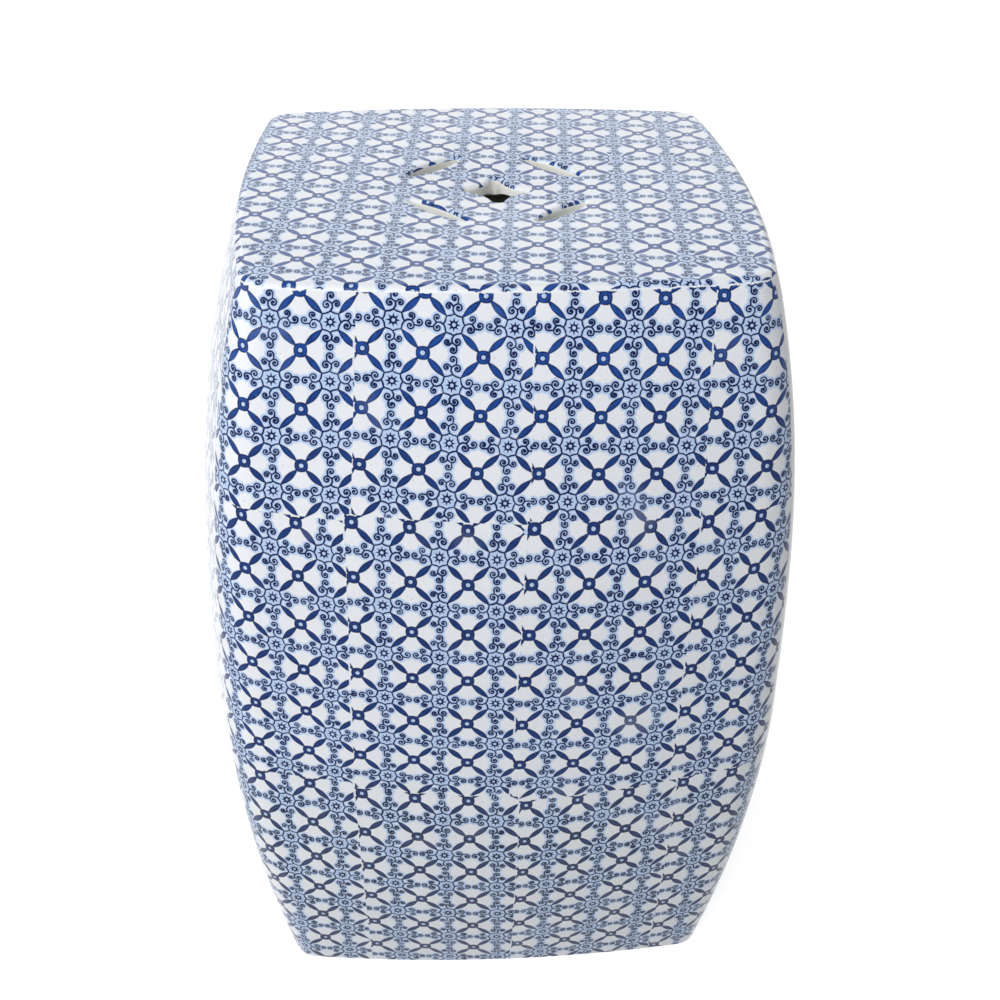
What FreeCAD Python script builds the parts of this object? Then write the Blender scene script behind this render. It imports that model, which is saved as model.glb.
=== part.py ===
import FreeCAD, Part
import math
import os
import Sketcher

# Square garden stool of glazed stoneware: four bowed wall slabs luted together under a pierced
# seat slab, on an open foot ring, with strips of clay pressed into the inside seams.
# Millimetres, +Z up, the floor at z = 0 under the middle of the stool. The front wall faces -Y.

DRIVING_SIZES = {
    # outside of the body
    "overall_height": 460.0,
    "belly_height": 200.0,
    "top_half_width": 140.0,
    "belly_half_width": 172.0,
    "foot_half_width": 134.0,
    "upper_swell": 2.65,
    "lower_swell": 1.8,
    "top_bow": 7.0,
    "belly_bow": 16.0,
    "foot_bow": 7.0,
    "top_corner_radius": 20.0,
    "belly_corner_radius": 32.0,
    "foot_corner_radius": 16.0,
    # slabs
    "wall_thickness": 10.0,
    "least_inside_radius": 4.0,
    "seat_thickness": 12.0,
    "rim_radius": 5.0,
    "foot_thickness": 12.0,
    "foot_edge_radius": 1.5,
    "foot_opening_half_width": 100.0,
    "foot_opening_corner_radius": 24.0,
    # seam strips
    "seam_strip_height": 14.0,
    "seam_strip_width": 14.0,
    "seam_strip_nib": 4.0,
    "corner_strip_leg": 12.0,
    "slip_gap": 0.4,
    # piercings of the seat
    "slot_distance": 47.5,
    "slot_length": 42.0,
    "slot_width": 9.0,
    "slot_tip_radius": 1.2,
    "hole_span": 34.0,
    "hole_throat": 19.0,
    "hole_tip_radius": 1.5,
    "piercing_edge_radius": 1.0,
}
SIDES = ("front", "right", "back", "left")
CORNERS = ("front_right", "back_right", "back_left", "front_left")
LEVELS_BELOW_BELLY = 5
LEVELS_ABOVE_BELLY = 7
QUARTER_TURN = 90.0
EIGHTH_TURN = 45.0
FRONT_FACING = 270.0
LEVEL_TOLERANCE = 1.0e-4
ANYWHERE = 1.0e6
START, END, CENTRE = range(1, 4)
ORIGIN_POINT = (-1, 1)


class Size:
    """A number together with the formula that the document keeps for it."""

    def __init__(self, value, text=None):
        self.value = float(value)
        self.text = text or repr(float(value))

    def join(self, sign, other, value):
        return Size(value, "(" + self.text + " " + sign + " " + other.text + ")")

    def __add__(self, other):
        other = as_size(other)
        return self.join("+", other, self.value + other.value)

    def __sub__(self, other):
        other = as_size(other)
        return self.join("-", other, self.value - other.value)

    def __mul__(self, other):
        other = as_size(other)
        return self.join("*", other, self.value * other.value)

    def __truediv__(self, other):
        other = as_size(other)
        return self.join("/", other, self.value / other.value)

    def __pow__(self, other):
        other = as_size(other)
        return self.join("^", other, self.value ** other.value)


def as_size(thing):
    return thing if isinstance(thing, Size) else Size(thing)


def larger(first, second):
    return Size(max(first.value, second.value), "max(" + first.text + "; " + second.text + ")")


def lean(overhang, rise):
    """The angle from upright, in degrees, of a face that moves outward by overhang over rise."""
    angle = math.degrees(math.atan2(overhang.value, rise.value))
    return Size(angle, "atan(" + overhang.text + " / " + rise.text + ")")


# Document and sheet of driving sizes

doc = FreeCAD.newDocument("garden_stool")
sheet = doc.addObject("Spreadsheet::Sheet", "Sizes")
size = {}
for row, (alias, number) in enumerate(DRIVING_SIZES.items(), start=1):
    sheet.set("A" + str(row), alias)
    sheet.set("B" + str(row), str(number))
    sheet.setAlias("B" + str(row), alias)
    size[alias] = Size(number, "Sizes." + alias)
doc.recompute()

wall_foot = size["foot_thickness"]
wall_head = size["overall_height"] - size["seat_thickness"]


# Shape law of the body: how wide, bowed and rounded it is at a height

class Outline:
    """A square with four bowed sides and round corners, centred on the upright axis."""

    def __init__(self, half_width, bow, corner):
        self.half_width = half_width
        self.bow = bow
        self.corner = corner
        self.corner_offset = half_width - bow - corner
        self.bow_radius = (self.corner_offset ** 2 + bow ** 2) / (bow * 2) + corner

    def inset(self, depth, least_radius):
        return Outline(self.half_width - depth, self.bow, larger(self.corner - depth, least_radius))

    def bow_half_angle(self):
        """Half the angle that a bowed side spans, in degrees."""
        offset = self.corner_offset.value
        centre_shift = self.bow_radius.value - self.half_width.value
        return math.degrees(math.atan2(offset, offset + centre_shift))


def outside_at(height):
    """Outline of the outer surface at a height."""
    if height.value >= size["belly_height"].value:
        reach = (height - size["belly_height"]) / (size["overall_height"] - size["belly_height"])
        end, swell = "top", size["upper_swell"]
    else:
        reach = (size["belly_height"] - height) / size["belly_height"]
        end, swell = "foot", size["lower_swell"]

    def blend(quality, power):
        belly = size["belly_" + quality]
        return belly - (belly - size[end + "_" + quality]) * reach ** power

    return Outline(blend("half_width", swell), blend("bow", 2), blend("corner_radius", 2))


def inside_at(height):
    return outside_at(height).inset(size["wall_thickness"], size["least_inside_radius"])


def seam_at(height):
    """Outline that a strip of clay may fill inside the walls."""
    return inside_at(height).inset(size["slip_gap"], size["least_inside_radius"] - size["slip_gap"])


def levels_between(low, high):
    """Heights of the loft's sections, with one at the belly."""
    belly = size["belly_height"]
    below = [low + (belly - low) * (step / LEVELS_BELOW_BELLY) for step in range(LEVELS_BELOW_BELLY)]
    above = [belly + (high - belly) * (step / LEVELS_ABOVE_BELLY)
             for step in range(LEVELS_ABOVE_BELLY + 1)]
    return below + above


# Sketch helpers

def origin_feature(body, role):
    for feature in body.Origin.OriginFeatures:
        if feature.Role == role:
            return feature
    raise ValueError("no origin feature " + role)


def level_sketch(body, name, height, turn=0.0):
    """A sketch on a level plane of the body."""
    sketch = body.newObject("Sketcher::SketchObject", name)
    sketch.AttachmentSupport = (origin_feature(body, "XY_Plane"), [""])
    sketch.MapMode = "FlatFace"
    turned = FreeCAD.Rotation(FreeCAD.Vector(0, 0, 1), turn)
    sketch.AttachmentOffset = FreeCAD.Placement(FreeCAD.Vector(0, 0, height.value), turned)
    sketch.setExpression("AttachmentOffset.Base.z", height.text)
    return sketch


def add_arc(sketch, centre, radius, start_angle, end_angle):
    circle = Part.Circle(FreeCAD.Vector(centre[0], centre[1], 0), FreeCAD.Vector(0, 0, 1), radius)
    arc = Part.ArcOfCircle(circle, math.radians(start_angle), math.radians(end_angle))
    return sketch.addGeometry(arc, False)


def add_line(sketch, start, end):
    return sketch.addGeometry(Part.LineSegment(start, end), False)


def drive(sketch, constraint, formula):
    """Add a dimension and tie it to its formula."""
    index = sketch.addConstraint(constraint)
    sketch.setExpression("Constraints[" + str(index) + "]", formula.text)


def place_centre(sketch, arc, across, along, offset):
    """Hold an arc's centre at +/- offset from both axes, or from one where a factor is 0."""
    for kind, factor in (("DistanceX", across), ("DistanceY", along)):
        if factor > 0:
            drive(sketch, Sketcher.Constraint(kind, *ORIGIN_POINT, arc, CENTRE, offset.value), offset)
        elif factor < 0:
            drive(sketch, Sketcher.Constraint(kind, arc, CENTRE, *ORIGIN_POINT, offset.value), offset)
    if across == 0:
        sketch.addConstraint(Sketcher.Constraint("PointOnObject", arc, CENTRE, -2))
    if along == 0:
        sketch.addConstraint(Sketcher.Constraint("PointOnObject", arc, CENTRE, -1))


def set_radius(sketch, arc, radius):
    drive(sketch, Sketcher.Constraint("Radius", arc, radius.value), radius)


def turned_point(across, along, quarter_turns):
    """A plan point turned about the axis by quarter turns, and the signs of its coordinates."""
    for _ in range(quarter_turns % 4):
        across, along = -along, across
    return across, along


def draw_outline(sketch, outline):
    """The whole closed outline: four bowed sides and four corners, tangent in turn."""
    offset = outline.corner_offset.value
    shift = outline.bow_radius.value - outline.half_width.value
    half_angle = outline.bow_half_angle()
    sides, corners = [], []
    for turn in range(4):
        middle = FRONT_FACING + turn * QUARTER_TURN
        side_centre = turned_point(0.0, shift, turn)
        corner_centre = turned_point(offset, -offset, turn)
        sides.append(add_arc(sketch, side_centre, outline.bow_radius.value,
                             middle - half_angle, middle + half_angle))
        corners.append(add_arc(sketch, corner_centre, outline.corner.value,
                               middle + half_angle, middle + QUARTER_TURN - half_angle))
    for turn in range(4):
        next_side = sides[(turn + 1) % 4]
        sketch.addConstraint(Sketcher.Constraint("Tangent", sides[turn], END, corners[turn], START))
        sketch.addConstraint(Sketcher.Constraint("Tangent", corners[turn], END, next_side, START))
        place_centre(sketch, corners[turn], *turned_point(1, -1, turn), outline.corner_offset)
        set_radius(sketch, corners[turn], outline.corner)
        set_radius(sketch, sides[turn], outline.bow_radius)


def draw_side(sketch, outline):
    """One bowed side with half of each corner, up to the mitre planes, open at both ends."""
    offset = outline.corner_offset.value
    shift = outline.bow_radius.value - outline.half_width.value
    half_angle = outline.bow_half_angle()
    side_start, side_end = FRONT_FACING - half_angle, FRONT_FACING + half_angle
    left = add_arc(sketch, (-offset, -offset), outline.corner.value,
                   FRONT_FACING - EIGHTH_TURN, side_start)
    side = add_arc(sketch, (0.0, shift), outline.bow_radius.value, side_start, side_end)
    right = add_arc(sketch, (offset, -offset), outline.corner.value,
                    side_end, FRONT_FACING + EIGHTH_TURN)
    sketch.addConstraint(Sketcher.Constraint("Tangent", left, END, side, START))
    sketch.addConstraint(Sketcher.Constraint("Tangent", side, END, right, START))
    place_centre(sketch, left, -1, -1, outline.corner_offset)
    place_centre(sketch, right, 1, -1, outline.corner_offset)
    for corner in (left, right):
        set_radius(sketch, corner, outline.corner)
    set_radius(sketch, side, outline.bow_radius)
    return left, right


def draw_mitre(sketch, outer, inner, end, angle):
    """The straight mitre between the two skins, on a plane through the upright axis."""
    points = [sketch.getPoint(arc, end) for arc in (outer, inner)]
    line = add_line(sketch, *points)
    sketch.addConstraint(Sketcher.Constraint("Coincident", outer, end, line, START))
    sketch.addConstraint(Sketcher.Constraint("Coincident", inner, end, line, END))
    sketch.addConstraint(Sketcher.Constraint("PointOnObject", *ORIGIN_POINT, line))
    sketch.addConstraint(Sketcher.Constraint("Angle", line, math.radians(angle)))


# Feature helpers

def new_body(label, turn=0.0):
    body = doc.addObject("PartDesign::Body", label)
    body.Label = label
    body.Placement = FreeCAD.Placement(
        FreeCAD.Vector(0, 0, 0), FreeCAD.Rotation(FreeCAD.Vector(0, 0, 1), turn))
    return body


def loft(body, kind, name, sketches):
    feature = body.newObject("PartDesign::" + kind, name)
    feature.Profile = sketches[0]
    feature.Sections = sketches[1:]
    doc.recompute()
    return feature


def outline_loft(body, kind, name, sections):
    """A loft through whole outlines, each given as (height, outline)."""
    sketches = []
    for number, (height, outline) in enumerate(sections, start=1):
        sketch = level_sketch(body, name + "_section_" + str(number), height)
        draw_outline(sketch, outline)
        sketches.append(sketch)
    return loft(body, kind, name, sketches)


def leaning_slab(body, name, bottom, low_outline, top, high_outline):
    """A flat slab whose edge leans from one outline's half width to the other's."""
    sketch = level_sketch(body, name + "_sketch", bottom)
    draw_outline(sketch, low_outline)
    thickness = top - bottom
    edge_lean = lean(high_outline.half_width - low_outline.half_width, thickness)
    pad = body.newObject("PartDesign::Pad", name)
    pad.Profile = sketch
    pad.Length = thickness.value
    pad.setExpression("Length", thickness.text)
    pad.TaperAngle = edge_lean.value
    pad.setExpression("TaperAngle", edge_lean.text)
    doc.recompute()
    return pad


def pocket_through(body, name, sketch):
    pocket = body.newObject("PartDesign::Pocket", name)
    pocket.Profile = sketch
    pocket.Type = "ThroughAll"
    before = pocket.BaseFeature.Shape.Volume
    doc.recompute()
    if pocket.Shape.Volume >= before:
        raise ValueError(name + " cuts nothing")
    return pocket


def level_edges(feature, height, farther_than=0.0, nearer_than=ANYWHERE):
    """Names of the edges that lie at a height, within a range of distance from the axis."""
    names = []
    for number, edge in enumerate(feature.Shape.Edges, start=1):
        box = edge.BoundBox
        middle = edge.valueAt((edge.FirstParameter + edge.LastParameter) / 2)
        reach = math.hypot(middle.x, middle.y)
        level = max(abs(box.ZMin - height), abs(box.ZMax - height)) < LEVEL_TOLERANCE
        if level and farther_than < reach < nearer_than:
            names.append("Edge" + str(number))
    return names


def round_edges(body, name, base, edge_names, radius):
    fillet = body.newObject("PartDesign::Fillet", name)
    fillet.Base = (base, edge_names)
    fillet.Radius = radius.value
    fillet.setExpression("Radius", radius.text)
    doc.recompute()
    return fillet


# Wall slabs: four alike, mitred to each other in the rounded corners

def make_wall(side, turn):
    body = new_body(side + "_wall", turn)
    sketches = []
    for number, height in enumerate(levels_between(wall_foot, wall_head), start=1):
        sketch = level_sketch(body, side + "_wall_section_" + str(number), height)
        outer_left, outer_right = draw_side(sketch, outside_at(height))
        inner_left, inner_right = draw_side(sketch, inside_at(height))
        draw_mitre(sketch, outer_right, inner_right, END, 3 * EIGHTH_TURN)
        draw_mitre(sketch, outer_left, inner_left, START, EIGHTH_TURN)
        sketches.append(sketch)
    loft(body, "AdditiveLoft", side + "_wall_slab", sketches)
    return body


# Seat slab: covers the wall tops, with a rounded rim and a coin-shaped group of piercings

def draw_slot(sketch):
    """A lens with rounded tips, lying square to the line from the seat's centre."""
    half_length, half_width = size["slot_length"] / 2, size["slot_width"] / 2
    tip, distance = size["slot_tip_radius"], size["slot_distance"]
    tip_reach = half_length - tip
    cheek = (tip_reach ** 2 + half_width ** 2 - tip ** 2) / ((half_width - tip) * 2)
    swing = math.degrees(math.atan2(tip_reach.value, cheek.value - half_width.value))
    sink = cheek.value - half_width.value
    middle = distance.value
    upper = add_arc(sketch, (0.0, middle - sink), cheek.value, 90.0 - swing, 90.0 + swing)
    left = add_arc(sketch, (-tip_reach.value, middle), tip.value, 90.0 + swing, 270.0 - swing)
    lower = add_arc(sketch, (0.0, middle + sink), cheek.value, 270.0 - swing, 270.0 + swing)
    right = add_arc(sketch, (tip_reach.value, middle), tip.value, 270.0 + swing, 450.0 - swing)
    chain = (upper, left, lower, right)
    for arc, following in zip(chain, chain[1:] + chain[:1]):
        sketch.addConstraint(Sketcher.Constraint("Tangent", arc, END, following, START))
    for tip_arc, direction in ((left, -1), (right, 1)):
        first, second = (ORIGIN_POINT, (tip_arc, CENTRE))[::direction]
        drive(sketch, Sketcher.Constraint("DistanceX", *first, *second, tip_reach.value), tip_reach)
        drive(sketch, Sketcher.Constraint("DistanceY", *ORIGIN_POINT, tip_arc, CENTRE, middle), distance)
        set_radius(sketch, tip_arc, tip)
    for cheek_arc in (upper, lower):
        set_radius(sketch, cheek_arc, cheek)


def draw_centre_hole(sketch):
    """A four-pointed hole with hollow sides and rounded tips on the two axes."""
    tip = size["hole_tip_radius"]
    tip_reach = size["hole_span"] / 2 - tip
    throat = size["hole_throat"] / 2 - tip
    root_two = 2 ** 0.5
    side_reach = (tip_reach ** 2 - throat ** 2) / (tip_reach * 2 - throat * (2 * root_two))
    side_radius = side_reach * root_two - size["hole_throat"] / 2
    swing = math.degrees(math.atan2(side_reach.value, side_reach.value - tip_reach.value))
    tips, sides = [], []
    for turn in range(4):
        facing = turn * QUARTER_TURN
        tip_centre = turned_point(tip_reach.value, 0.0, turn)
        side_centre = turned_point(side_reach.value, side_reach.value, turn)
        tips.append(add_arc(sketch, tip_centre, tip.value, facing - swing, facing + swing))
        sides.append(add_arc(sketch, side_centre, side_radius.value,
                             facing + 270.0 - swing, facing + 180.0 + swing))
    for turn in range(4):
        following = tips[(turn + 1) % 4]
        sketch.addConstraint(Sketcher.Constraint("Tangent", tips[turn], END, sides[turn], END))
        sketch.addConstraint(Sketcher.Constraint("Tangent", sides[turn], START, following, START))
        place_centre(sketch, tips[turn], *turned_point(1, 0, turn), tip_reach)
        set_radius(sketch, tips[turn], tip)
        set_radius(sketch, sides[turn], side_radius)


def make_seat():
    body = new_body("seat_slab")
    top = size["overall_height"]
    slab = leaning_slab(body, "seat_blank", wall_head, outside_at(wall_head), top, outside_at(top))
    round_edges(body, "seat_rim", slab, level_edges(slab, top.value), size["rim_radius"])
    hole_sketch = level_sketch(body, "centre_hole_sketch", top)
    draw_centre_hole(hole_sketch)
    pocket_through(body, "centre_hole", hole_sketch)
    slot_sketch = level_sketch(body, "slot_sketch", top, turn=EIGHTH_TURN)
    draw_slot(slot_sketch)
    slot = pocket_through(body, "slot", slot_sketch)
    slots = body.newObject("PartDesign::PolarPattern", "slots")
    slots.Originals = [slot]
    slots.Axis = (origin_feature(body, "Z_Axis"), [""])
    slots.Angle = 4 * QUARTER_TURN
    slots.Occurrences = 4
    body.Tip = slots
    doc.recompute()
    pierced_reach = size["slot_distance"].value + size["slot_length"].value
    round_edges(body, "soft_piercings", slots,
                level_edges(slots, top.value, nearer_than=pierced_reach), size["piercing_edge_radius"])
    return body


# Foot ring: the flat ring that closes the body below, open in the middle

def make_foot():
    body = new_body("foot_ring")
    floor = size["overall_height"] * 0
    ring = leaning_slab(body, "foot_blank", floor, outside_at(floor), wall_foot, outside_at(wall_foot))
    round_edges(body, "foot_edge", ring, level_edges(ring, floor.value), size["foot_edge_radius"])
    opening_sketch = level_sketch(body, "foot_opening_sketch", wall_foot)
    draw_outline(opening_sketch, Outline(size["foot_opening_half_width"], size["foot_bow"],
                                         size["foot_opening_corner_radius"]))
    pocket_through(body, "foot_opening", opening_sketch)
    return body


# Seam strips: clay pressed into the inside angles, a slip's thickness clear of the walls

def make_level_strip(label, broad_height, nib_height):
    """A strip all round, broad against the seat or the foot and narrow at its other edge."""
    body = new_body(label)
    heights = (broad_height, nib_height)
    outline_loft(body, "AdditiveLoft", label + "_blank", [(at, seam_at(at)) for at in heights])
    widths = (size["seam_strip_width"], size["seam_strip_nib"])
    openings = [(at, seam_at(at).inset(width, size["least_inside_radius"]))
                for at, width in zip(heights, widths)]
    outline_loft(body, "SubtractiveLoft", label + "_opening", openings)
    return body


def draw_corner_strip(sketch, outline):
    """A rounded corner with two short legs along the walls and a flat face across."""
    offset = outline.corner_offset.value
    radius = outline.bow_radius.value
    shift = radius - outline.half_width.value
    half_angle = outline.bow_half_angle()
    leg_end = outline.corner_offset - size["corner_strip_leg"]
    leg_angle = math.degrees(math.asin(leg_end.value / radius))
    front_end, side_facing = FRONT_FACING + half_angle, FRONT_FACING + QUARTER_TURN
    side_start = side_facing - half_angle
    front = add_arc(sketch, (0.0, shift), radius, FRONT_FACING + leg_angle, front_end)
    corner = add_arc(sketch, (offset, -offset), outline.corner.value, front_end, side_start)
    side = add_arc(sketch, (-shift, 0.0), radius, side_start, side_facing - leg_angle)
    face = add_line(sketch, sketch.getPoint(side, END), sketch.getPoint(front, START))
    sketch.addConstraint(Sketcher.Constraint("Tangent", front, END, corner, START))
    sketch.addConstraint(Sketcher.Constraint("Tangent", corner, END, side, START))
    sketch.addConstraint(Sketcher.Constraint("Coincident", side, END, face, START))
    sketch.addConstraint(Sketcher.Constraint("Coincident", face, END, front, START))
    place_centre(sketch, corner, 1, -1, outline.corner_offset)
    set_radius(sketch, corner, outline.corner)
    for wall_arc in (front, side):
        set_radius(sketch, wall_arc, outline.bow_radius)
    sketch.addConstraint(Sketcher.Constraint("PointOnObject", front, CENTRE, -2))
    sketch.addConstraint(Sketcher.Constraint("PointOnObject", side, CENTRE, -1))
    drive(sketch, Sketcher.Constraint("DistanceX", *ORIGIN_POINT, front, START, leg_end.value), leg_end)
    drive(sketch, Sketcher.Constraint("DistanceY", side, END, *ORIGIN_POINT, leg_end.value), leg_end)


def make_corner_strip(corner, turn):
    body = new_body(corner + "_corner_strip", turn)
    room = size["seam_strip_height"] + size["slip_gap"]
    sketches = []
    for number, height in enumerate(levels_between(wall_foot + room, wall_head - room), start=1):
        sketch = level_sketch(body, corner + "_strip_section_" + str(number), height)
        draw_corner_strip(sketch, seam_at(height))
        sketches.append(sketch)
    loft(body, "AdditiveLoft", corner + "_strip_roll", sketches)
    return body


# Build every piece

pieces = [make_wall(side, turn * QUARTER_TURN) for turn, side in enumerate(SIDES)]
pieces.append(make_seat())
pieces.append(make_foot())
pieces.append(make_level_strip("seat_seam_strip", wall_head, wall_head - size["seam_strip_height"]))
pieces.append(make_level_strip("foot_seam_strip", wall_foot, wall_foot + size["seam_strip_height"]))
pieces += [make_corner_strip(corner, turn * QUARTER_TURN) for turn, corner in enumerate(CORNERS)]
doc.recompute()


# Check and write

for thing in doc.Objects:
    if "Invalid" in thing.State or "Error" in thing.State:
        raise ValueError(thing.Label + " failed: " + ", ".join(thing.State))
for piece in pieces:
    shape = piece.Shape
    if shape.isNull() or not shape.isValid() or len(shape.Solids) != 1:
        raise ValueError(piece.Label + " is not one valid solid")

os.makedirs("parts", exist_ok=True)
for piece in pieces:
    piece.Shape.exportStep("parts/" + piece.Label + ".step")
    box = piece.Shape.BoundBox
    print(piece.Label, "volume", round(piece.Shape.Volume), "z", round(box.ZMin, 2), round(box.ZMax, 2),
          "x", round(box.XMin, 2), round(box.XMax, 2))
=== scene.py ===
from collections import namedtuple
from math import atan2, copysign, cos, exp, hypot, pi, radians, sin, sqrt, tan

import bpy
import numpy as np
from mathutils import Matrix
from mathutils.geometry import delaunay_2d_cdt


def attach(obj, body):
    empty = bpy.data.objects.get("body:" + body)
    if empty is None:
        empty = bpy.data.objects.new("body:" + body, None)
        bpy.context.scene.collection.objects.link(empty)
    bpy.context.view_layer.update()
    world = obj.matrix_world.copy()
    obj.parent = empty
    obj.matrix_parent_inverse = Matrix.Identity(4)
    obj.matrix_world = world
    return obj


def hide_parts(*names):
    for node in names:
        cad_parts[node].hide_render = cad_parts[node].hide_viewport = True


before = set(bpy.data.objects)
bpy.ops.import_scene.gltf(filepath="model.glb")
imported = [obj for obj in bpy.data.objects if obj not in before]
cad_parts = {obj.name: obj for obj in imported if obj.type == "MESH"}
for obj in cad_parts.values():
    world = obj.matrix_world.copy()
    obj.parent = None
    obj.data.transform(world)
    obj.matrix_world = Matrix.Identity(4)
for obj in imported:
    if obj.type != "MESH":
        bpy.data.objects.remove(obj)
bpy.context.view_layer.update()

# Square garden stool of glazed stoneware, in metres, +Z up, its front wall facing -Y. The sizes and
# the shape law are those of the solids.

MM = 0.001
HEIGHT = 460 * MM
BELLY_HEIGHT = 200 * MM
WALL_FOOT = 12 * MM
WALL_HEAD = 448 * MM
WALL_THICKNESS = 10 * MM
LEAST_INSIDE_RADIUS = 4 * MM
RIM_RADIUS = 5 * MM
FOOT_EDGE_RADIUS = 1.5 * MM
# half width, bow of a side, corner radius
TOP = (140 * MM, 7 * MM, 20 * MM)
MIDDLE = (172 * MM, 16 * MM, 32 * MM)
FOOT = (134 * MM, 7 * MM, 16 * MM)
FOOT_OPENING = (100 * MM, 7 * MM, 24 * MM)
UPPER_SWELL, LOWER_SWELL, BOW_SWELL = 2.65, 1.8, 2.0

# piercings of the seat: four slots round a hole with four points
SLOT_DISTANCE, SLOT_LENGTH, SLOT_WIDTH, SLOT_TIP = 47.5 * MM, 42 * MM, 9 * MM, 1.2 * MM
HOLE_SPAN, HOLE_THROAT, HOLE_TIP = 34 * MM, 19 * MM, 1.5 * MM
PIERCING_EDGE = 2.5 * MM
HOLE_FLARE, HOLE_UNDERCUT = 1.2 * MM, 3.5 * MM
# the seat sank a little round its piercings while it dried
SAG_DEPTH, SAG_SPREAD, SAG_CENTRE = 3.2 * MM, 40 * MM, (14 * MM, -8 * MM)

SIDES = ("front", "right", "back", "left")
MITRE = pi / 4

# how finely the meshes are divided
CORNER_STEPS = 9
SIDE_STEPS = 66
WALL_ROWS = 96
RIM_STEPS, RIM_WALL_STEPS = 8, 4
FOOT_WALL_STEPS, FOOT_EDGE_STEPS = 4, 5
PIERCING_EDGE_STEPS, ARC_STEP, LEAST_ARC_STEPS = 5, 1.2 * MM, 6
SEAT_SPACING, SEAT_MARGIN = 6.5 * MM, 2.5 * MM


class Outline:
    """A square with four bowed sides and round corners. The side that faces -Y is described."""

    def __init__(self, half, bow, corner):
        self.half, self.bow, self.corner = half, bow, corner
        self.reach = half - bow - corner
        self.radius = (self.reach ** 2 + bow ** 2) / (2 * bow) + corner
        self.swing = atan2(self.reach, self.reach + self.radius - half)

    def inset(self, depth, least=0.0):
        return Outline(self.half - depth, self.bow, max(self.corner - depth, least))

    def facings(self):
        """Directions of the side's normals from mitre to mitre, 0 in its middle."""
        left = np.linspace(-MITRE, -self.swing, CORNER_STEPS + 1)[:-1]
        middle = np.linspace(-self.swing, self.swing, SIDE_STEPS + 1)
        return np.concatenate([left, middle, -left[::-1]])

    def support(self, facing):
        """Distance from the axis to the tangent line at a facing."""
        if abs(facing) <= self.swing:
            return self.radius - (self.radius - self.half) * cos(facing)
        return self.reach * (abs(sin(facing)) + cos(facing)) + self.corner

    def point(self, facing):
        if abs(facing) <= self.swing:
            return (self.radius * sin(facing),
                    self.radius - self.half - self.radius * cos(facing))
        return (copysign(self.reach, facing) + self.corner * sin(facing),
                -self.reach - self.corner * cos(facing))

    def along(self, facing):
        """Length of the outline from the side's middle to a facing."""
        turned_by = min(abs(facing), self.swing)
        return copysign(self.radius * turned_by + self.corner * (abs(facing) - turned_by), facing)

    def ring(self):
        """All four sides, each from its mitre up to the next: side, facing, point and normal."""
        places = []
        for side in range(4):
            for facing in self.facings()[:-1]:
                normal = (sin(facing), -cos(facing), 0.0)
                places.append((side, facing, turned((*self.point(facing), 0.0), side)[:2],
                               turned(normal, side)[:2]))
        return places


def outside_at(z):
    if z >= BELLY_HEIGHT:
        share, end, swell = (z - BELLY_HEIGHT) / (HEIGHT - BELLY_HEIGHT), TOP, UPPER_SWELL
    else:
        share, end, swell = (BELLY_HEIGHT - z) / BELLY_HEIGHT, FOOT, LOWER_SWELL
    powers = (swell, BOW_SWELL, BOW_SWELL)
    return Outline(*[m - (m - e) * share ** p for m, e, p in zip(MIDDLE, end, powers)])


def turned(vector, quarter_turns):
    x, y, z = vector
    for _ in range(quarter_turns):
        x, y = -y, x
    return (x, y, z)


def unit(vector):
    vector = np.array(vector, float)
    return tuple(vector / (np.linalg.norm(vector) or 1.0))


# Length down the middle of a wall, from the crease under the rim

CREASE_HEIGHT = HEIGHT - 0.3 * RIM_RADIUS
heights = np.linspace(CREASE_HEIGHT, 0.0, 800)
reaches = np.array([outside_at(z).half for z in heights])
lengths = np.concatenate([[0.0], np.cumsum(np.hypot(np.diff(heights), np.diff(reaches)))])


def down_from_rim(z):
    return float(np.interp(-z, -heights, lengths))


# Where the print lies on the walls

# where each wall's print starts, so that the four differ: along, down
PRINT_STARTS = ((0.0, 0.0), (11 * MM, -7 * MM), (-9 * MM, 5 * MM), (6 * MM, 12 * MM))
# the front and back sheets run on round the upright corners, the front's a little less far at its
# right end
FRONT_END_SHORT = 9 * MM


def side_print(side, along, down):
    return (along + PRINT_STARTS[side][0], down + PRINT_STARTS[side][1])


def sheet_at(side, outline, facing, in_corner):
    """The wall whose sheet covers a place, the place along that sheet and the way to its end."""
    mitre = outline.along(MITRE)
    rounding = outline.corner * (MITRE - outline.swing)
    along = outline.along(facing)
    if side % 2 == 0:
        owner, edge = side, mitre + rounding - abs(along)
    elif not in_corner:
        return side, along, mitre - rounding - abs(along)
    else:
        owner = (side + (1 if facing > 0 else -1)) % 4
        beyond = outline.corner * (MITRE - abs(facing))
        along, edge = -copysign(mitre + beyond, facing), rounding - beyond
    return owner, along, edge - (FRONT_END_SHORT if owner == 0 and along > 0 else 0.0)


def is_corner(column):
    return column < CORNER_STEPS or column >= CORNER_STEPS + SIDE_STEPS


# Meshes

PRINTED, PLAIN, BISCUIT = range(3)
# Print and Edge coordinates above the crease, so that the seat's print shows there
OFF_WALL, INSIDE_SHEET = (0.0, -1.0), (1.0, -1.0)

# a vertex: point, normal, side of the stool, facing, outline, length down from the rim, place on
# the seat's sheet
Place = namedtuple("Place", "at normal side facing outline down flat", defaults=((0.0, 0.0),))


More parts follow.
